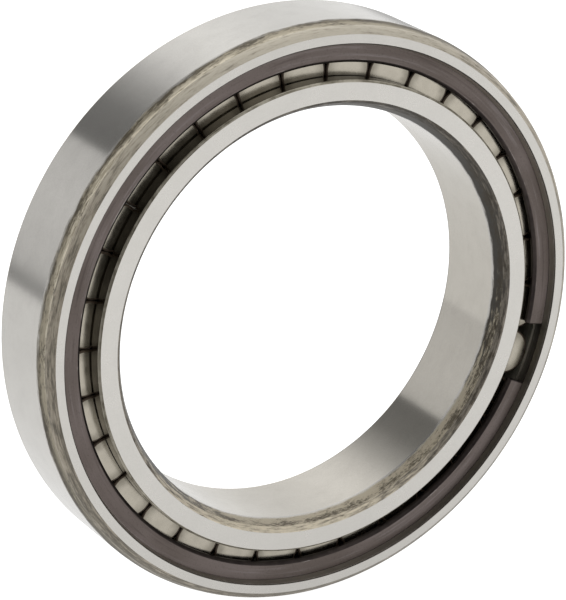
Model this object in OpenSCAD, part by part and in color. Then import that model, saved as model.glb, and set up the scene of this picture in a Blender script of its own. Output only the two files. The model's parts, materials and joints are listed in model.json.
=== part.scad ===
// Full-complement cylindrical roller bearing, single row, semi-locating, 100 x 140 x 24.
// Two hardened rings run on a close row of plain rollers, with no cage between them.
// The inner ring has a rib on both sides. The outer ring has one rib, at the rear, and
// a split retaining ring in a groove at the front, which keeps the rollers in.
// Millimetres. The bearing's axis is Y, its front faces -Y, and the origin is the
// middle of the bore.

/* [Main sizes] */
// Bore diameter
bore_d = 100; // [98:0.5:101]
// Outside diameter
outside_d = 140; // [139.5:0.5:150]
// Width of both rings
width = 24; // [22:0.5:30]

/* [Rollers] */
// Number of rollers in the row
roller_count = 32; // [28:1:32]
// Roller diameter
roller_d = 11.4; // [10.8:0.1:11.4]
// Diameter of the circle through the roller centres
pitch_d = 117; // [117:0.25:117.5]
// Radial clearance between a roller and each raceway
running_gap = 0.04; // [0.02:0.01:0.08]
// Clearance between a roller end and each rib
end_gap = 0.05; // [0.02:0.01:0.1]
// Round on the edge of each roller end
roller_edge = 0.45; // [0.3:0.05:0.6]
// Angle of the first roller about the axis, from +X towards +Z
first_roller_at = 2.2; // [0:0.1:11.2]

/* [Ribs] */
// Width of a rib along the axis
rib_width = 4; // [4:0.1:5]
// Outside diameter of the inner ring's ribs
inner_rib_d = 114; // [112:0.2:115]
// Inside diameter of the outer ring's rear rib
outer_rib_d = 122.4; // [121:0.2:124]
// Small chamfer on the edges of a rib
rib_chamfer = 0.5; // [0.2:0.05:0.6]

/* [Retaining ring] */
// Inside diameter of the retaining ring
clip_bore_d = 121; // [120:0.2:124]
// Thickness of the retaining ring
clip_thickness = 2; // [1.6:0.1:2]
// Depth of the retaining ring below the front faces
clip_depth = 1.8; // [1.4:0.1:1.8]
// Bevel on the inner edges of the retaining ring
clip_bevel = 0.65; // [0.2:0.05:0.75]
// Angle that the gap between its ends takes up
clip_gap = 13.4; // [8:0.2:20]
// Angle of the middle of that gap about the axis
clip_gap_at = 340.6; // [0:0.2:360]

/* [Corners at the outside diameter] */
// Radial size of the front chamfer
outer_chamfer_r = 1.5; // [0.8:0.1:1.6]
// Axial size of the front chamfer
outer_chamfer_h = 1.1; // [0.8:0.1:1.6]
// Radial size of the shallow lead-in that follows the front chamfer
outer_lead_r = 0.95; // [0.5:0.05:1.1]
// Axial size of that lead-in
outer_lead_h = 3.35; // [2:0.05:4]
// Size of the plain rear chamfer, both ways
outer_rear_chamfer = 1.6; // [1:0.1:2]

/* [Corners at the bore] */
// Radial size of the front chamfer
bore_chamfer_r = 0.9; // [0.6:0.1:1.2]
// Axial size of the front chamfer
bore_chamfer_h = 1.4; // [0.8:0.1:1.6]
// Radial size of the shallow lead-in that follows the front chamfer
bore_lead_r = 1; // [0.5:0.05:1.1]
// Axial size of that lead-in
bore_lead_h = 2.45; // [2:0.05:3]
// Size of the plain rear chamfer, both ways
bore_rear_chamfer = 1.2; // [0.8:0.1:1.6]

/* [Hidden] */
$fn = 180;
half_width = width / 2;
bore_r = bore_d / 2;
outside_r = outside_d / 2;
pitch_r = pitch_d / 2;
roller_r = roller_d / 2;
inner_rib_r = inner_rib_d / 2;
outer_rib_r = outer_rib_d / 2;

// Raceways, and the axial track that the ribs leave between them
inner_race_r = pitch_r - roller_r - running_gap;
outer_race_r = pitch_r + roller_r + running_gap;
track_half = half_width - rib_width;
roller_half = track_half - end_gap;
relief_w = 0.8; // grinding relief where a raceway meets a rib
relief_d = 0.35;
race_lead = 0.3; // bevel between the outer raceway and the groove

// Retaining ring and its groove. The lip in front of the groove is a little wider than
// the raceway, because the rollers pass through it at assembly.
lip_step = 0.5;
lip_r = outer_race_r + lip_step;
lip_bevel = 0.25; // between the lip and the front face
mouth_r = lip_r + 0.7;
groove_depth = 1.5;
groove_r = lip_r + groove_depth;
clip_r = groove_r - 0.12;
clip_bore_r = clip_bore_d / 2;
clip_play = 0.03;
clip_front = half_width - clip_depth;
clip_back = clip_front - clip_thickness;

function roller_name(i) = str("roller_", i < 9 ? "0" : "", i + 1);

// Profiles are lists of [radius, height]. The height is along the axis, front up.
// side is 1 at an outside diameter and -1 at a bore.

// Two-stage front corner of a ring at radius r, from the face to the cylindrical wall
function front_corner(r, side, chamfer_r, chamfer_h, lead_r, lead_h) = [
    [r - side * (chamfer_r + lead_r), half_width],
    [r - side * lead_r, half_width - chamfer_h],
    [r, half_width - chamfer_h - lead_h]
];

// Plain rear corner, from the wall to the face
function rear_corner(r, side, chamfer) = [
    [r, chamfer - half_width],
    [r - side * chamfer, -half_width]
];

// The same points with front and rear swapped, and the same points in the opposite order
function swapped(points) = [for (p = points) [p[0], -p[1]]];
function reversed(points) = [for (i = [len(points) - 1 : -1 : 0]) points[i]];

// Front half of the inner ring's track, from the raceway over the rib to the face
function inner_track() = [
    [inner_race_r, track_half - relief_w],
    [inner_race_r - relief_d, track_half - relief_w + relief_d],
    [inner_race_r - relief_d, track_half],
    [inner_rib_r - rib_chamfer, track_half],
    [inner_rib_r, track_half + rib_chamfer],
    [inner_rib_r, half_width - rib_chamfer],
    [inner_rib_r - rib_chamfer, half_width]
];

// Inside of the outer ring, from the front face to the rear face
function outer_inside() = [
    [mouth_r, half_width],
    [mouth_r - lip_bevel, half_width - lip_bevel],
    [lip_r, clip_front + clip_play],
    [groove_r, clip_front + clip_play],
    [groove_r, clip_back - clip_play],
    [outer_race_r + race_lead, clip_back - clip_play],
    [outer_race_r, clip_back - race_lead],
    [outer_race_r, relief_w - track_half],
    [outer_race_r + relief_d, relief_w - relief_d - track_half],
    [outer_race_r + relief_d, -track_half],
    [outer_rib_r + rib_chamfer, -track_half],
    [outer_rib_r, -track_half - rib_chamfer],
    [outer_rib_r, rib_chamfer - half_width],
    [outer_rib_r + rib_chamfer, -half_width]
];

function clip_section() = [
    [clip_bore_r + clip_bevel, clip_front],
    [clip_r, clip_front],
    [clip_r, clip_back],
    [clip_bore_r + clip_bevel, clip_back],
    [clip_bore_r, clip_back + clip_bevel],
    [clip_bore_r, clip_front - clip_bevel]
];

// Upper edge round of a roller, from its side to its end face
function roller_round() = [
    for (turn = [0 : 30 : 90])
        [roller_r - roller_edge * (1 - cos(turn)), roller_half - roller_edge * (1 - sin(turn))]
];

// Turns a body of revolution about Z so that its top becomes the bearing's front.
module front_to_viewer() rotate([90, 0, 0]) children();

module outer_ring() {
    front = front_corner(outside_r, 1, outer_chamfer_r, outer_chamfer_h, outer_lead_r, outer_lead_h);
    rear = rear_corner(outside_r, 1, outer_rear_chamfer);
    color("gainsboro") front_to_viewer() rotate_extrude()
        polygon(concat(outer_inside(), reversed(rear), reversed(front)));
}

module inner_ring() {
    front = front_corner(bore_r, -1, bore_chamfer_r, bore_chamfer_h, bore_lead_r, bore_lead_h);
    rear = rear_corner(bore_r, -1, bore_rear_chamfer);
    color("gainsboro") front_to_viewer() rotate_extrude()
        polygon(concat(inner_track(), front, rear, reversed(swapped(inner_track()))));
}

module retaining_ring() {
    color([0.39, 0.34, 0.33]) front_to_viewer() rotate([0, 0, clip_gap_at + clip_gap / 2])
        rotate_extrude(angle = 360 - clip_gap) polygon(clip_section());
}

module roller(i) {
    top = concat(roller_round(), [[0, roller_half]]);
    color([0.72, 0.7, 0.66]) front_to_viewer() rotate([0, 0, first_roller_at + i * 360 / roller_count])
        translate([pitch_r, 0, 0]) rotate_extrude($fn = 64)
            polygon(concat(reversed(swapped(top)), top));
}

outer_ring();
inner_ring();
retaining_ring();
for (i = [0 : roller_count - 1]) roller(i);
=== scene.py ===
"""Full-complement cylindrical roller bearing, standing on its rim on a white studio floor.

Each ring, the retaining ring and each roller is turned here as a fine mesh with rounded edges, in the place
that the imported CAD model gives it, and rides on the same body. The axis is Y, and the front faces -Y.
"""
import json
import math

import bpy
from mathutils import Matrix, Vector


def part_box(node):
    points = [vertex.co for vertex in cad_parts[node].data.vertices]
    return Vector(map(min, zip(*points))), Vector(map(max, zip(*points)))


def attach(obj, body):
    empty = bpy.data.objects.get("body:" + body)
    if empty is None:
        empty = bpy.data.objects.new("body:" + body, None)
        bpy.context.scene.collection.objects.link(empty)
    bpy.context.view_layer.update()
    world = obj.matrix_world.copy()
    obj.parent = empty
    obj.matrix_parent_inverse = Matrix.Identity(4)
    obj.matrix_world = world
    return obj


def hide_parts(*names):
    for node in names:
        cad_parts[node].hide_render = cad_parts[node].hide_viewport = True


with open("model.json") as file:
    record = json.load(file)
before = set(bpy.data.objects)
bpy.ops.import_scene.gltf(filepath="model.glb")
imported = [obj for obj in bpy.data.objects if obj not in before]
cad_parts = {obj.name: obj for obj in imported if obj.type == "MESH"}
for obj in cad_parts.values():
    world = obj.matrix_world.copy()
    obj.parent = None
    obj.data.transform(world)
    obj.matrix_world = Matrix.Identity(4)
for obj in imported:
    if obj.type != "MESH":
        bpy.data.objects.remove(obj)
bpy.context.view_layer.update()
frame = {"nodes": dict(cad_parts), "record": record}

MM = 0.001
TURN = 2 * math.pi

# ---------------------------------------------------------------- sizes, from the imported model


def radii(node):
    """Every vertex's distance from the Y axis."""
    return [math.hypot(v.co.x, v.co.z) for v in frame["nodes"][node].data.vertices]


def centre(node):
    low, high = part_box(node)
    return (low + high) / 2


OUTSIDE_R = max(radii("outer_ring"))
OUTER_RIB_R = min(radii("outer_ring"))
RIB_R = max(radii("inner_ring"))
BORE_R = min(radii("inner_ring"))
CLIP_R = max(radii("retaining_ring"))
CLIP_BORE_R = min(radii("retaining_ring"))
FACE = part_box("outer_ring")[1].y  # height of the ring faces from the middle
CLIP_FRONT = -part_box("retaining_ring")[0].y
CLIP_BACK = -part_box("retaining_ring")[1].y
ROLLERS = sorted(n for n in frame["nodes"] if n.startswith("roller_"))
ROLLER_R = (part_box(ROLLERS[0])[1].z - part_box(ROLLERS[0])[0].z) / 2
ROLLER_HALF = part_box(ROLLERS[0])[1].y
PITCH_R = math.hypot(centre(ROLLERS[0]).x, centre(ROLLERS[0]).z)

RUNNING_GAP = 0.04 * MM  # between a roller and each raceway
END_GAP = 0.05 * MM  # between a roller end and each rib
TRACK = ROLLER_HALF + END_GAP  # height of the rib flanks
INNER_RACE_R = PITCH_R - ROLLER_R - RUNNING_GAP
OUTER_RACE_R = PITCH_R + ROLLER_R + RUNNING_GAP
LIP_R = OUTER_RACE_R + 0.5 * MM
LIP_BEVEL = 0.25 * MM
MOUTH_R = LIP_R + 0.7 * MM
GROOVE_R = CLIP_R + 0.12 * MM
GROOVE_PLAY = 0.03 * MM
RACE_LEAD = 0.3 * MM
RIB_CHAMFER = 0.5 * MM
RELIEF_W = 0.8 * MM
RELIEF_D = 0.35 * MM
CLIP_BEVEL = 0.65 * MM
ROLLER_EDGE = 0.45 * MM
OUTER_CHAMFER = (1.5 * MM, 1.1 * MM)  # radial, axial
OUTER_LEAD = (0.95 * MM, 3.35 * MM)
OUTER_REAR = 1.6 * MM
BORE_CHAMFER = (0.9 * MM, 1.4 * MM)
BORE_LEAD = (1.0 * MM, 2.45 * MM)
BORE_REAR = 1.2 * MM
EDGE = 0.07 * MM  # round on the sharp edges
BORE_EDGE = 0.75 * MM  # round between the inner ring's face and its chamfer
KNEE = 2.2 * MM  # round between a chamfer and its lead-in
REAR_KNEE = KNEE / 4  # round between a rear chamfer and its wall
BLEND = 3 * MM  # round between a lead-in and the ground wall

# ---------------------------------------------------------------- camera

LENS = 186  # millimetres
SENSOR = 36  # millimetres
CAMERA_DISTANCE = 0.710
CAMERA_AZIMUTH = math.radians(-30.3)
CAMERA_ELEVATION = math.radians(21.45)
AIM_LEFT = 8.6 * MM  # the view is centred beside and above the middle of the front
AIM_UP = 4.8 * MM


def make_camera():
    level = Vector((math.sin(CAMERA_AZIMUTH), -math.cos(CAMERA_AZIMUTH), 0))
    back = level * math.cos(CAMERA_ELEVATION) + Vector((0, 0, math.sin(CAMERA_ELEVATION)))
    turn = (-back).to_track_quat("-Z", "Y")
    aim = Vector((0, -FACE, 0)) + turn @ Vector((-AIM_LEFT, AIM_UP, 0))
    data = bpy.data.cameras.new("camera")
    data.lens = LENS
    data.sensor_width = SENSOR
    data.clip_start, data.clip_end = 0.05, 50
    camera = bpy.data.objects.new("camera", data)
    bpy.context.scene.collection.objects.link(camera)
    camera.rotation_mode = "QUATERNION"
    camera.rotation_quaternion = turn
    camera.location = aim + back * CAMERA_DISTANCE
    bpy.context.scene.camera = camera


make_camera()

# ---------------------------------------------------------------- node graphs

NO_RADIUS = 1e-5  # metres; stands in for the radius on the axis itself
SLOPE = 1.7  # weight of the radius beside the depth, where a pattern runs round the axis
QUARTER = 0.25  # of a turn, from along the tangent to across it


class Nodes:
    """Adds nodes to a tree. Values are numbers, colours or the outputs of other nodes."""

    def __init__(self, tree):
        self.tree = tree

    def put(self, socket, value):
        if isinstance(value, bpy.types.NodeSocket):
            self.tree.links.new(value, socket)
        else:
            socket.default_value = value

    def node(self, kind, inputs=(), **settings):
        made = self.tree.nodes.new(kind)
        for key, value in settings.items():
            setattr(made, key, value)
        for key, value in dict(inputs).items():
            self.put(made.inputs[key], value)
        return made

    def math(self, operation, *values):
        return self.node("ShaderNodeMath", enumerate(values), operation=operation).outputs[0]

    def plus(self, value, other, share):
        """value + other * share."""
        return self.math("ADD", value, self.math("MULTIPLY", other, share))

    def mix(self, factor, a, b):
        """Colour a where factor is 0 and b where it is 1."""
        made = self.node("ShaderNodeMix", data_type="RGBA")
        for socket, value in zip((made.inputs[0], made.inputs[6], made.inputs[7]), (factor, a, b)):
            self.put(socket, value)
        return made.outputs[2]

    def cover(self, colour, top, share, strength):
        """The colour with top laid over it, by share * strength."""
        return self.mix(self.math("MULTIPLY", share, strength), colour, top)

    def between(self, value, low, high, to_low=0.0, to_high=1.0):
        """Smooth step from low to high."""
        inputs = {"Value": value, "From Min": low, "From Max": high, "To Min": to_low, "To Max": to_high}
        return self.node("ShaderNodeMapRange", inputs, interpolation_type="SMOOTHSTEP").outputs[0]

    def ramp(self, factor, stops):
        """A grey level read from stops of (degrees, level), where factor is the share of a whole turn."""
        made = self.node("ShaderNodeValToRGB", {0: factor})
        elements = made.color_ramp.elements
        elements.remove(elements[1])
        for i, (degrees, level) in enumerate(stops):
            element = elements.new(degrees / 360) if i else elements[0]
            element.position = degrees / 360
            element.color = (level, level, level, 1)
        return made.outputs[0]


class Graph(Nodes):
    """Builds one material."""

    def __init__(self, name):
        self.material = bpy.data.materials.new(name)
        self.material.use_nodes = True
        super().__init__(self.material.node_tree)
        self.shader = self.tree.nodes["Principled BSDF"]

    def noise(self, vector, detail=2.0, roughness=0.5, distortion=0.0):
        inputs = {"Vector": vector, "Scale": 1.0, "Detail": detail, "Roughness": roughness,
                  "Distortion": distortion}
        return self.node("ShaderNodeTexNoise", inputs).outputs["Fac"]

    def place(self):
        """The point in the piece's own frame: x, y, radius about Y, and the unit direction from the axis."""
        point = self.node("ShaderNodeTexCoord").outputs["Object"]
        x, y, z = self.node("ShaderNodeSeparateXYZ", {0: point}).outputs
        squares = [self.math("MULTIPLY", side, side) for side in (x, z)]
        radius = self.math("SQRT", self.math("ADD", *squares))
        safe = self.math("MAXIMUM", radius, NO_RADIUS)
        return {"point": point, "x": x, "y": y, "r": radius,
                "cos": self.math("DIVIDE", x, safe), "sin": self.math("DIVIDE", z, safe)}

    def round_about(self, place, along, across, offset=0.0, slope=SLOPE):
        """A vector that changes slowly round the axis, by along, and fast over the surface, by across.

        slope is negative on a surface whose radius shrinks as its depth grows.
        """
        over = self.plus(place["y"], place["r"], slope)
        parts = (self.math("MULTIPLY", place["cos"], along), self.math("MULTIPLY", place["sin"], along),
                 self.math("ADD", self.math("MULTIPLY", over, across), offset))
        return self.node("ShaderNodeCombineXYZ", enumerate(parts)).outputs[0]

    def toward(self, place, degrees):
        """Cosine of the angle between the point, seen from the axis, and a direction."""
        angle = math.radians(degrees)
        return self.math("ADD", self.math("MULTIPLY", place["cos"], math.cos(angle)),
                         self.math("MULTIPLY", place["sin"], math.sin(angle)))

    def scaled(self, place, scale):
        inputs = {0: place["point"], 1: (scale,) * 3}
        return self.node("ShaderNodeVectorMath", inputs, operation="MULTIPLY").outputs[0]

    def bump(self, height, distance, strength=1.0):
        inputs = {"Height": height, "Distance": distance, "Strength": strength}
        self.put(self.shader.inputs["Normal"], self.node("ShaderNodeBump", inputs).outputs[0])

    def finish(self, colour, roughness, metallic=1.0, anisotropic=0.0):
        self.put(self.shader.inputs["Base Color"], colour)
        self.put(self.shader.inputs["Roughness"], roughness)
        if metallic is not None:
            self.shader.inputs["Metallic"].default_value = metallic
        self.shader.inputs["Anisotropic"].default_value = anisotropic
        if anisotropic:  # the lines run round the axis, so reflections spread across them
            tangent = self.node("ShaderNodeTangent", direction_type="RADIAL", axis="Y")
            self.put(self.shader.inputs["Tangent"], tangent.outputs[0])
            self.shader.inputs["Anisotropic Rotation"].default_value = QUARTER
        return self.material


def centred(g, noise, strength):
    return g.math("MULTIPLY", g.math("SUBTRACT", noise, 0.5), strength)


def grey(level, warm=0.03):
    """A linear grey, a little warm by default."""
    return (level * (1 + warm), level, level * (1 - 2 * warm), 1)


def ground_steel(name, level=0.48, rough=0.25, anisotropic=0.8, stain=0.05, lines=0.05, warm=0.03):
    """Ground bearing steel: fine lines round the axis, and faint dull stains of the oil film."""
    g = Graph(name)
    place = g.place()
    streaks = g.noise(g.round_about(place, along=14, across=5200), detail=3)
    broad = g.noise(g.round_about(place, along=5, across=900, offset=7.0), detail=2)
    stains = g.noise(g.scaled(place, 190), detail=3, roughness=0.6)
    grain = g.noise(g.scaled(place, 3600), detail=2)
    tone = g.plus(g.math("MULTIPLY", streaks, lines), broad, lines)
    tone = g.plus(tone, g.between(stains, 0.35, 0.75), stain)
    tone = g.math("ADD", tone, g.between(grain, 0.3, 0.7, -0.05, 0.05))
    colour = g.mix(tone, grey(level * 1.03, warm), grey(level * 0.45, warm * 1.5))
    roughness = g.math("ADD", rough, centred(g, stains, 0.06))
    g.bump(streaks, 0.0018 * MM)
    return g.finish(colour, roughness, anisotropic=anisotropic)


def roller_end(name, level=0.345, warm=0.08):
    """Ground end of a roller, with painted shade over its outer band and a few scratches of handling."""
    g = Graph(name)
    place = g.place()
    rings = g.noise(g.round_about(place, along=2, across=4200), detail=3)
    stains = g.noise(g.scaled(place, 420), detail=3, roughness=0.6)
    scratches = g.noise(g.scaled(place, 1700), detail=2, distortion=2.5)
    # painted shade: the outer part of each end is darker, for the shade and dark reflection of the retaining
    # ring and lip
    painted_rim_shade = g.between(g.plus(place["r"], stains, 1.5 * MM), 3.2 * MM, 6.4 * MM)
    tone = g.plus(g.math("MULTIPLY", rings, 0.08), g.between(stains, 0.35, 0.75), 0.12)
    tone = g.plus(tone, painted_rim_shade, 0.6)
    colour = g.mix(tone, grey(level, warm), grey(level * 0.25, warm * 1.5))
    colour = g.cover(colour, grey(level * 0.5, warm * 2), g.between(scratches, 0.66, 0.72), 0.35)
    g.bump(rings, 0.002 * MM)
    return g.finish(colour, g.between(stains, 0.3, 0.7, 0.24, 0.18))


def oxide_marks(g, place, slope, fine, more=0.0):
    """Streaks round the axis, and the share of scale in clustered flecks, as on every unground skin.

    slope is round_about's, the flecks get smaller as fine grows, and there are more of them as more grows.
    """
    streaks = g.noise(g.round_about(place, along=13, across=1000, slope=slope), detail=6, roughness=0.68)
    small = g.round_about(place, along=24 * fine, across=1300 * fine, offset=3.0, slope=slope)
    flecks = g.noise(small, detail=6, roughness=0.75)
    clusters = g.noise(g.round_about(place, along=9, across=220, offset=11.0, slope=slope), detail=3)
    amount = g.math("ADD", g.math("ADD", flecks, centred(g, clusters, 0.5)), more)
    return streaks, g.between(amount, 0.5, 0.68)


def pitted(g, streaks, scale, distance):
    """Relief of an unground skin, where the scale lies a little deeper."""
    g.bump(g.math("SUBTRACT", streaks, g.math("MULTIPLY", scale, 0.2)), distance)


def turned_skin(name, light, dark, painted_lit_colour, painted_light_at, painted_light_reach, slope=SLOPE, speck=0.4, fine=1.7):
    """Turned and heat-treated steel that was never ground, with streaks and dark flecks of scale.

    Its tones are light and dark. Round the direction painted_light_at it has painted light, in the colour
    painted_lit_colour, further round for a larger painted_light_reach. speck is the strength of the flecks,
    which are weaker there.
    """
    g = Graph(name)
    place = g.place()
    streaks, scale = oxide_marks(g, place, slope, fine)
    # painted light: one side of the ring is lighter and the side across from it darker, and the flecks fade
    # on the lit side
    side = g.math("ADD", g.toward(place, painted_light_at), centred(g, streaks, 1.5))
    tone = g.plus(streaks, g.toward(place, painted_light_at), 0.1)
    colour = g.mix(g.between(tone, 0.36, 0.64), dark, light)
    painted_lit = g.between(side, 0.9 - painted_light_reach, 1.5 - painted_light_reach)
    colour = g.mix(painted_lit, colour, painted_lit_colour)
    speck = g.math("SUBTRACT", speck, g.math("MULTIPLY", painted_lit, 0.6 * speck))
    colour = g.cover(colour, SCALE, scale, speck)
    pitted(g, streaks, scale, 0.03 * MM)
    return g.finish(colour, g.between(streaks, 0.3, 0.7, 0.52, 0.38), metallic=0.45)


def lead_skin(name, start, end, colours, seat, painted_light_at, painted_light_reach, side_light_contrast, wall_darkening, line_at,
              slope=SLOPE, fine=1.7):
    """The shallow lead-in beside a ground wall, from depth start to depth end below the front face.

    colours are its lightest, middle and darkest oxide. Lighter streaks lie near the chamfer and darker ones
    near the wall, by wall_darkening. Its sides differ by painted light, of strength side_light_contrast:
    lighter round painted_light_at, like turned_skin. The grinding of the wall, in the colour seat, eats
    unevenly into the end of the skin. There are more flecks of scale along a line, at the share line_at of
    the way from start to end.
    """
    g = Graph(name)
    place = g.place()
    depth = g.math("ADD", place["y"], FACE)
    way = g.math("DIVIDE", g.math("SUBTRACT", depth, start), end - start)
    off_line = g.math("ABSOLUTE", g.math("SUBTRACT", way, line_at))
    streaks, scale = oxide_marks(g, place, slope, fine, more=g.between(off_line, 0.4, 0.05, 0.0, 0.12))
    grain = centred(g, streaks, 2.4)
    # painted light: one side of the lead-in is lighter and the side across from it darker
    side = g.math("ADD", g.toward(place, painted_light_at), grain)
    darker = g.between(side, 0.9 - painted_light_reach, 1.5 - painted_light_reach, side_light_contrast * 0.5, side_light_contrast * -0.5)
    side_and_wall_tone = g.math("ADD", g.plus(darker, way, wall_darkening), grain)
    colour = g.mix(g.between(side_and_wall_tone, -0.2, 0.25), colours[0], colours[1])
    colour = g.mix(g.between(side_and_wall_tone, 0.3, 0.75), colour, colours[2])
    colour = g.cover(colour, SCALE, scale, 0.85)
    ground = g.between(g.plus(way, grain, 0.3), 0.82, 1.12)
    colour = g.mix(ground, colour, seat)
    pitted(g, streaks, scale, 0.015 * MM)
    g.put(g.shader.inputs["Metallic"], g.between(ground, 0.0, 1.0, 0.5, 1.0))
    return g.finish(colour, g.between(ground, 0.0, 1.0, 0.42, 0.22), metallic=None, anisotropic=0.6)


def dull_oxide(name, light, dark, rough=0.5, metallic=0.6):
    """Oiled oxide left in the places no grinding wheel reaches."""
    g = Graph(name)
    place = g.place()
    streaks = g.noise(g.round_about(place, along=5, across=1600), detail=4, roughness=0.6)
    cloud = g.noise(g.scaled(place, 500), detail=3)
    grain = g.plus(g.math("MULTIPLY", streaks, 0.6), cloud, 0.4)
    g.bump(streaks, 0.01 * MM)
    return g.finish(g.mix(g.between(grain, 0.36, 0.64), dark, light), rough, metallic=metallic)


def phosphate(name):
    """Brown phosphated spring steel, lined round the axis, with the coating rubbed along its inner edge."""
    g = Graph(name)
    place = g.place()
    lines = g.noise(g.round_about(place, along=2.5, across=620), detail=4, roughness=0.65)
    grain = g.noise(g.scaled(place, 2600), detail=3, roughness=0.6)
    cloud = g.noise(g.scaled(place, 60), detail=2)
    colour = g.mix(g.between(cloud, 0.35, 0.65), (0.103, 0.084, 0.075, 1), (0.13, 0.107, 0.099, 1))
    colour = g.cover(colour, (0.2, 0.175, 0.172, 1), g.between(lines, 0.52, 0.72), 0.55)
    colour = g.cover(colour, (0.05, 0.038, 0.034, 1), g.between(lines, 0.46, 0.3), 0.5)
    colour = g.cover(colour, (0.05, 0.04, 0.036, 1), g.between(grain, 0.5, 0.75), 0.45)
    off_edge = g.math("ABSOLUTE", g.math("SUBTRACT", place["r"], CLIP_BORE_R + CLIP_BEVEL))
    near_edge = g.between(off_edge, 0.45 * MM, 0.1 * MM)
    patches = g.noise(g.round_about(place, along=9, across=900, offset=2.0), detail=5, roughness=0.7)
    rubbed = g.math("MULTIPLY", near_edge, g.between(patches, 0.54, 0.68))
    colour = g.cover(colour, (0.4, 0.37, 0.35, 1), rubbed, 0.7)
    g.bump(g.math("ADD", grain, lines), 0.006 * MM)
    return g.finish(colour, g.between(grain, 0.3, 0.7, 0.46, 0.38), metallic=0.85)


SCALE = (0.045, 0.035, 0.022, 1)  # flecks of mill scale
FACE_STEEL = ground_steel("ground_face", level=0.465, rough=0.28, anisotropic=0.3, stain=0.04, lines=0.04)
OUTER_FACE_STEEL = ground_steel("outer_face", level=0.45, rough=0.28, anisotropic=0.3, stain=0.04,
                                lines=0.04)
SEAT_STEEL = ground_steel("ground_seat", rough=0.17, anisotropic=0.8, stain=0.08, lines=0.06)
BORE_STEEL = ground_steel("ground_bore", level=0.44, rough=0.17, anisotropic=0.8, stain=0.08, lines=0.06,
                          warm=0.05)
TRACK_STEEL = ground_steel("honed_track", level=0.4, rough=0.2, anisotropic=0.5, warm=0.06)
ROLLER_END = roller_end("roller_end")
ROLLER_SIDE = ground_steel("roller_side", level=0.4, rough=0.2, anisotropic=0.3)
# oxide of the unground round, and painted shade: nearly black, so the gaps between rollers look dark and the
# rounds show no highlight
ROLLER_ROUND_SHADE = dull_oxide("roller_round", (0.075, 0.055, 0.038, 1), (0.04, 0.027, 0.017, 1), 0.45)
RACE_SKIN = dull_oxide("outer_race", (0.4, 0.375, 0.31, 1), (0.3, 0.28, 0.22, 1), 0.3, 0.75)
RIB_STEEL = ground_steel("rib_wall", level=0.26, rough=0.2, anisotropic=0.3, stain=0.3, lines=0.15,
                         warm=0.08)
RIB_EDGE = dull_oxide("rib_edge", (0.42, 0.39, 0.32, 1), (0.12, 0.105, 0.075, 1), 0.36, 0.7)
LIP_STEEL = ground_steel("lip_wall", level=0.5, rough=0.3, anisotropic=0.3, stain=0.2, lines=0.1,
                         warm=0.06)
GROOVE_SKIN = dull_oxide("groove_oxide", (0.062, 0.052, 0.042, 1), (0.03, 0.024, 0.018, 1))
FLANK_SKIN = dull_oxide("flank_oxide", (0.12, 0.108, 0.086, 1), (0.075, 0.066, 0.052, 1))
# painted light and shade: the outer chamfer is lighter at the top and darker at the bottom, the bore chamfer
# lighter at the bottom
OUTER_CORNER = turned_skin("outer_chamfer_skin", light=(0.4, 0.355, 0.285, 1),
                           dark=(0.145, 0.13, 0.103, 1), painted_lit_colour=(0.43, 0.395, 0.325, 1), painted_light_at=97,
                           painted_light_reach=0.42)
BORE_CORNER = turned_skin("bore_chamfer_skin", light=(0.2, 0.178, 0.145, 1), dark=(0.055, 0.048, 0.04, 1),
                          painted_lit_colour=(0.55, 0.49, 0.38, 1), painted_light_at=257, painted_light_reach=0.35, slope=-SLOPE,
                          speck=0.95, fine=1.2)
OUTER_LEAD_OXIDE = ((0.66, 0.6, 0.48, 1), (0.31, 0.275, 0.205, 1), (0.12, 0.102, 0.068, 1))
# painted light: the outer lead-in is lighter at the upper left and darker across from it
OUTER_LEAD_SKIN = lead_skin("outer_lead_skin", OUTER_CHAMFER[1], OUTER_CHAMFER[1] + OUTER_LEAD[1],
                            OUTER_LEAD_OXIDE, seat=grey(0.48), painted_light_at=135, painted_light_reach=0.6, side_light_contrast=0.55,
                            wall_darkening=0.85, line_at=0.85)
BORE_LEAD_OXIDE = ((0.36, 0.32, 0.245, 1), (0.1, 0.09, 0.072, 1), (0.05, 0.046, 0.04, 1))
# painted light: the bore's lead-in is lighter at the bottom, a little to the right, and much darker across
# from it
BORE_LEAD_SKIN = lead_skin("bore_lead_skin", BORE_CHAMFER[1], BORE_CHAMFER[1] + BORE_LEAD[1],
                           BORE_LEAD_OXIDE, seat=grey(0.42), painted_light_at=285, painted_light_reach=0.65, side_light_contrast=1.6,
                           wall_darkening=0.3, line_at=0.2, slope=-SLOPE, fine=1.8)
PHOSPHATE = phosphate("brown_phosphate")
# painted shade: a darker phosphate on the retaining ring's inner bevels and bore, for the shade that falls
# there
PHOSPHATE_SHADE = dull_oxide("phosphate_painted_shade", (0.055, 0.044, 0.04, 1), (0.03, 0.024, 0.022, 1), 0.42, 0.85)
GROUND = (FACE_STEEL, OUTER_FACE_STEEL, SEAT_STEEL, BORE_STEEL)

# ---------------------------------------------------------------- turned pieces

ROUND_STEPS = 5  # on an edge round
ROLLER_ROUND_STEPS = 6
RING_STEPS = 360
ROLLER_STEPS = 72
LONGEST_CUT = 0.45  # of a side, for the round at each of its ends
CLIP_END_BEVEL = 0.3 * MM
ROLLER_CAP = 0.98  # radius of a roller's end cap over that of its flat end
ROLLER_TWIST = 2.4  # radians from one roller's stains to the next one's


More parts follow.
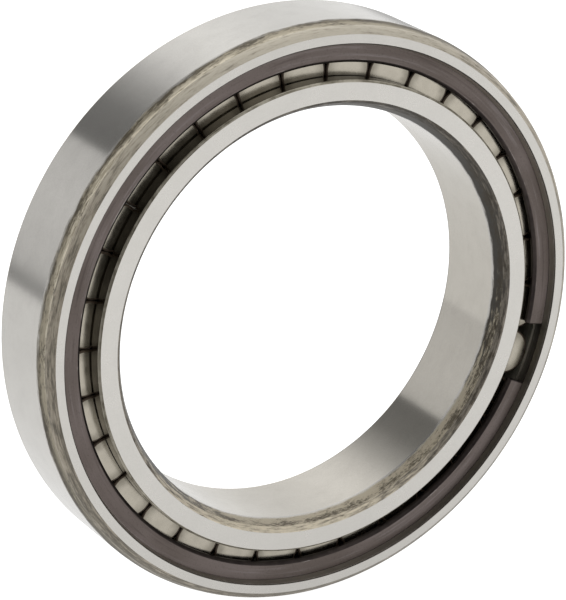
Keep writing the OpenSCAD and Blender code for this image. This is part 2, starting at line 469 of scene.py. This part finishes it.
def rounded(outline):
    """Outline of (radius, height, round, finish) with its corners rounded, as (radius, height, finish).

    finish is the material from that point to the next one. No grinding wheel reaches a round, so a round
    beside a ground surface has the finish of its other side.
    """
    points = []
    count = len(outline)
    for i, (radius, height, size, finish) in enumerate(outline):
        here = Vector((radius, height))
        before = Vector(outline[i - 1][:2]) - here
        after = Vector(outline[(i + 1) % count][:2]) - here
        half = before.angle(after) / 2
        cut = min(size / math.tan(half), before.length * LONGEST_CUT, after.length * LONGEST_CUT)
        start, end = here + before.normalized() * cut, here + after.normalized() * cut
        edge_finish = outline[i - 1][3] if finish in GROUND else finish
        for k in range(ROUND_STEPS + 1):
            t = k / ROUND_STEPS
            point = start * (1 - t) ** 2 + here * 2 * t * (1 - t) + end * t**2
            points.append((point.x, point.y, edge_finish if k < ROUND_STEPS else finish))
    return points


def turned(name, rows, points, closed, capped):
    """A body of revolution about Y. rows are (angle, inset) and points are (radius, height, finish).

    The front is at the greatest height. closed joins the last row to the first. capped closes the two ends
    of the outline with flat discs; without it the outline is a loop. A row's inset shrinks the loop, for a
    bevelled end.
    """
    count = len(points)
    middle = Vector((sum(p[0] for p in points) / count, sum(p[1] for p in points) / count))
    vertices, faces, kinds, finishes = [], [], [], []

    def add(face, finish):
        if finish not in finishes:
            finishes.append(finish)
        faces.append(face)
        kinds.append(finishes.index(finish))

    for angle, inset in rows:
        for radius, height, _ in points:
            point = Vector((radius, height))
            if inset:
                point -= (point - middle).normalized() * inset
            vertices.append((point.x * math.cos(angle), -point.y, point.x * math.sin(angle)))
    for j in range(len(rows) if closed else len(rows) - 1):
        here, there = j * count, (j + 1) % len(rows) * count
        for i in range(count - 1 if capped else count):
            k = (i + 1) % count
            add((here + i, here + k, there + k, there + i), points[i][2])
    if capped:
        add(tuple(j * count for j in range(len(rows))), points[0][2])
        add(tuple(j * count + count - 1 for j in reversed(range(len(rows)))), points[-1][2])
    elif not closed:
        add(tuple(reversed(range(count))), points[0][2])
        add(tuple((len(rows) - 1) * count + i for i in range(count)), points[0][2])
    mesh = bpy.data.meshes.new(name)
    mesh.from_pydata(vertices, [], faces)
    for finish in finishes:
        mesh.materials.append(finish)
    mesh.polygons.foreach_set("material_index", kinds)
    mesh.validate()
    mesh.shade_smooth()
    return mesh


def full_turn(steps):
    return [(TURN * j / steps, 0) for j in range(steps)]


def show(name, mesh, node, body, place=Matrix.Identity(4)):
    """Puts a mesh in the scene in place of a CAD node, shaded so that its large faces look flat."""
    piece = bpy.data.objects.new(name, mesh)
    bpy.context.scene.collection.objects.link(piece)
    piece.matrix_world = place
    weighted = piece.modifiers.new("weighted_normals", "WEIGHTED_NORMAL")
    weighted.mode = "FACE_AREA_WITH_ANGLE"
    weighted.weight = 100
    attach(piece, body)
    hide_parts(node)


def front_corner(radius, side, chamfer, lead, edge, skins):
    """Two-stage corner from the face to the wall; side is 1 at an outside diameter and -1 at a bore.

    edge is the round between the face and the chamfer. skins are for the chamfer, the lead-in and the wall.
    """
    return [
        (radius - side * (chamfer[0] + lead[0]), FACE, edge, skins[0]),
        (radius - side * lead[0], FACE - chamfer[1], KNEE, skins[1]),
        (radius, FACE - chamfer[1] - lead[1], BLEND, skins[2]),
    ]


def rear_corner(radius, side, chamfer, skin, face):
    """Plain corner from the wall to the rear face."""
    return [(radius, chamfer - FACE, REAR_KNEE, skin), (radius - side * chamfer, -FACE, EDGE, face)]


def backwards(outline, last):
    """The same outline in the opposite order; last is the finish after its new last point."""
    finishes = [p[3] for p in outline[-2::-1]] + [last]
    return [(*p[:3], finish) for p, finish in zip(reversed(outline), finishes)]


def inner_ring_outline():
    track = [
        (INNER_RACE_R, TRACK - RELIEF_W, EDGE, TRACK_STEEL),
        (INNER_RACE_R - RELIEF_D, TRACK - RELIEF_W + RELIEF_D, EDGE, TRACK_STEEL),
        (INNER_RACE_R - RELIEF_D, TRACK, EDGE, TRACK_STEEL),
        (RIB_R - RIB_CHAMFER, TRACK, EDGE, RIB_STEEL),
        (RIB_R, TRACK + RIB_CHAMFER, EDGE, RIB_STEEL),
        (RIB_R, FACE - RIB_CHAMFER, EDGE, RIB_EDGE),
        (RIB_R - RIB_CHAMFER, FACE, EDGE, FACE_STEEL),
    ]
    rear_track = [(r, -h, size, finish) for r, h, size, finish in track]
    skins = (BORE_CORNER, BORE_LEAD_SKIN, BORE_STEEL)
    front = front_corner(BORE_R, -1, BORE_CHAMFER, BORE_LEAD, BORE_EDGE, skins)
    rear = rear_corner(BORE_R, -1, BORE_REAR, BORE_CORNER, FACE_STEEL)
    return track + front + rear + backwards(rear_track, TRACK_STEEL)


def outer_ring_outline():
    inside = [
        (MOUTH_R, FACE, EDGE, GROOVE_SKIN),
        (MOUTH_R - LIP_BEVEL, FACE - LIP_BEVEL, EDGE, LIP_STEEL),
        (LIP_R, CLIP_FRONT + GROOVE_PLAY, EDGE, GROOVE_SKIN),
        (GROOVE_R, CLIP_FRONT + GROOVE_PLAY, EDGE, GROOVE_SKIN),
        (GROOVE_R, CLIP_BACK - GROOVE_PLAY, EDGE, FLANK_SKIN),
        (OUTER_RACE_R + RACE_LEAD, CLIP_BACK - GROOVE_PLAY, EDGE, FLANK_SKIN),
        (OUTER_RACE_R, CLIP_BACK - RACE_LEAD, EDGE, RACE_SKIN),
        (OUTER_RACE_R, RELIEF_W - TRACK, EDGE, TRACK_STEEL),
        (OUTER_RACE_R + RELIEF_D, RELIEF_W - RELIEF_D - TRACK, EDGE, TRACK_STEEL),
        (OUTER_RACE_R + RELIEF_D, -TRACK, EDGE, TRACK_STEEL),
        (OUTER_RIB_R + RIB_CHAMFER, -TRACK, EDGE, TRACK_STEEL),
        (OUTER_RIB_R, -TRACK - RIB_CHAMFER, EDGE, TRACK_STEEL),
        (OUTER_RIB_R, RIB_CHAMFER - FACE, EDGE, TRACK_STEEL),
        (OUTER_RIB_R + RIB_CHAMFER, -FACE, EDGE, OUTER_FACE_STEEL),
    ]
    skins = (OUTER_CORNER, OUTER_LEAD_SKIN, SEAT_STEEL)
    rear = rear_corner(OUTSIDE_R, 1, OUTER_REAR, OUTER_CORNER, OUTER_FACE_STEEL)
    front = front_corner(OUTSIDE_R, 1, OUTER_CHAMFER, OUTER_LEAD, EDGE, skins)
    return inside + backwards(rear, SEAT_STEEL) + backwards(front, OUTER_FACE_STEEL)


def clip_outline():
    return [
        # painted shade: the inner bevels and the bore take the darker phosphate
        (CLIP_BORE_R + CLIP_BEVEL, CLIP_FRONT, 4 * EDGE, PHOSPHATE_SHADE),
        (CLIP_BORE_R, CLIP_FRONT - CLIP_BEVEL, 2 * EDGE, PHOSPHATE_SHADE),
        (CLIP_BORE_R, CLIP_BACK + CLIP_BEVEL, 2 * EDGE, PHOSPHATE_SHADE),
        (CLIP_BORE_R + CLIP_BEVEL, CLIP_BACK, EDGE, PHOSPHATE),
        (CLIP_R, CLIP_BACK, EDGE, PHOSPHATE),
        (CLIP_R, CLIP_FRONT, EDGE, PHOSPHATE),
    ]


def clip_rows():
    """Rows of the retaining ring. Its gap is read from the widest gap between the CAD node's vertices."""
    vertices = frame["nodes"]["retaining_ring"].data.vertices
    angles = sorted(math.atan2(v.co.z, v.co.x) % TURN for v in vertices)
    gap, end = max((b - a, b) for a, b in zip(angles, angles[1:] + [angles[0] + TURN]))
    sweep, bevel = TURN - gap, CLIP_END_BEVEL / CLIP_BORE_R
    inner = [(end + bevel + (sweep - 2 * bevel) * j / RING_STEPS, 0) for j in range(RING_STEPS + 1)]
    return [(end, CLIP_END_BEVEL)] + inner + [(end + sweep, CLIP_END_BEVEL)]


def roller_outline():
    """Half of the roller's outline, from the rear end face round to the front one."""
    rim, top = ROLLER_R - ROLLER_EDGE, ROLLER_HALF - ROLLER_EDGE
    # the rounds take the nearly black finish, painted shade for the gaps between rollers
    edge = []
    for k in range(ROLLER_ROUND_STEPS + 1):
        angle = TURN / 4 * k / ROLLER_ROUND_STEPS
        radius, height = rim + ROLLER_EDGE * math.cos(angle), top + ROLLER_EDGE * math.sin(angle)
        edge.append((radius, height, ROLLER_ROUND_SHADE))
    rear = [(r, -h, ROLLER_ROUND_SHADE) for r, h, _ in reversed(edge)]
    rear[-1] = (*rear[-1][:2], ROLLER_SIDE)
    cap = rim * ROLLER_CAP
    return [(cap, -ROLLER_HALF, ROLLER_END)] + rear + edge + [(cap, ROLLER_HALF, ROLLER_END)]


def make_rings():
    for name, outline, body in (("outer_ring", outer_ring_outline(), "housed_ring"),
                                ("inner_ring", inner_ring_outline(), "turning_ring")):
        mesh = turned(name + "_turned", full_turn(RING_STEPS), rounded(outline), closed=True, capped=False)
        show(mesh.name, mesh, name, body)
    clip = turned("retaining_ring_sprung", clip_rows(), rounded(clip_outline()), closed=False, capped=False)
    show(clip.name, clip, "retaining_ring", "housed_ring")


def make_rollers():
    mesh = turned("roller_turned", full_turn(ROLLER_STEPS), roller_outline(), closed=True, capped=True)
    bodies = frame["record"]["behaviour"]["bodies"]
    body_of = {node: body for body, nodes in bodies.items() for node in nodes}
    for i, node in enumerate(ROLLERS):
        place = Matrix.Translation(centre(node)) @ Matrix.Rotation(ROLLER_TWIST * i, 4, "Y")
        show(node + "_turned", mesh, node, body_of[node], place)


make_rings()
make_rollers()

# ---------------------------------------------------------------- studio

FLOOR_RADIUS = 1.0
FLOOR_AHEAD = 0.4  # how far its centre lies in front of the bearing
FLOOR_STEPS = 128
GLOW_BEHIND = 0.68  # brightness in reflections, beside 1 in front
SHADE = 0.1  # the same at the front left


def make_floor():
    """A round light table under the bearing, plain white to the camera.

    In reflections it is brightest in front, and dark at the front left, where the inner ring's rib and the
    roller ends at the left reflect it.
    """
    g = Graph("floor_white")
    place = g.place()
    glow = g.between(place["y"], 0.2, -0.25, GLOW_BEHIND, 1.0)
    lit = g.between(place["x"], -0.13, -0.045, SHADE, 1.0)
    lit = g.math("MAXIMUM", lit, g.between(place["y"], -0.08, 0.03, SHADE, 1.0))
    seen = g.node("ShaderNodeLightPath").outputs["Is Camera Ray"]
    g.finish((0.25, 0.25, 0.25, 1), 0.7, metallic=0.0)
    g.put(g.shader.inputs["Emission Color"], (1, 1, 1, 1))
    g.put(g.shader.inputs["Emission Strength"], g.math("MAXIMUM", g.math("MULTIPLY", glow, lit), seen))
    mesh = bpy.data.meshes.new("floor")
    rim = [(FLOOR_RADIUS * math.cos(a), FLOOR_RADIUS * math.sin(a) - FLOOR_AHEAD, -OUTSIDE_R)
           for a, _ in full_turn(FLOOR_STEPS)]
    mesh.from_pydata(rim, [], [tuple(range(FLOOR_STEPS))])
    mesh.materials.append(g.material)
    floor = bpy.data.objects.new("floor", mesh)
    bpy.context.scene.collection.objects.link(floor)


# Brightness of the studio behind the bearing, by angle about its axis: a large soft panel from the right
# over the top, a dark gap, and a second panel at the left that ends just below the horizon.
BEHIND = ((0, 1.15), (20, 1.1), (38, 1.1), (68, 1.35), (84, 1.15), (98, 0.62), (112, 0.29), (131, 0.23),
          (132, 0.85), (155, 0.93), (187, 0.85), (189, 0.33), (350, 0.33), (353, 1.15))
# The same in front of it: a window high at the right, and the dark end of the room where the camera stands.
FRONT = ((0, 0.5), (25, 0.6), (55, 1.0), (85, 0.55), (105, 0.15), (200, 0.12), (340, 0.3), (355, 0.5))
BACKDROP = (1.1, 1.1, 1.1, 1)


def make_world():
    """Panels of soft light, which the camera sees as plain white."""
    world = bpy.data.worlds.new("studio")
    world.use_nodes = True
    n = Nodes(world.node_tree)
    direction = n.node("ShaderNodeTexCoord").outputs["Generated"]
    x, y, z = n.node("ShaderNodeSeparateXYZ", {0: direction}).outputs
    turns = n.math("DIVIDE", n.math("ARCTAN2", z, x), TURN)
    whole = n.math("WRAP", turns, 1.0, 0.0)
    behind = n.node("ShaderNodeMapRange", {"Value": y, "From Min": -0.35, "From Max": 0.25}).outputs[0]
    room = n.mix(behind, n.ramp(whole, FRONT), n.ramp(whole, BEHIND))
    seen = n.node("ShaderNodeLightPath").outputs["Is Camera Ray"]
    n.put(n.tree.nodes["Background"].inputs["Color"], n.mix(seen, room, BACKDROP))
    bpy.context.scene.world = world


def make_sun(name, toward, strength, angle):
    """A broad soft light from a direction, which shows in no reflection."""
    data = bpy.data.lights.new(name, "SUN")
    data.energy, data.angle = strength, math.radians(angle)
    sun = bpy.data.objects.new(name, data)
    bpy.context.scene.collection.objects.link(sun)
    sun.rotation_mode = "QUATERNION"
    sun.rotation_quaternion = Vector(toward).to_track_quat("Z", "Y")
    sun.visible_glossy = False


make_floor()
make_world()
make_sun("overhead", toward=(-0.15, -0.35, 1.0), strength=2.2, angle=70)

bpy.context.scene.view_settings.view_transform = "Standard"
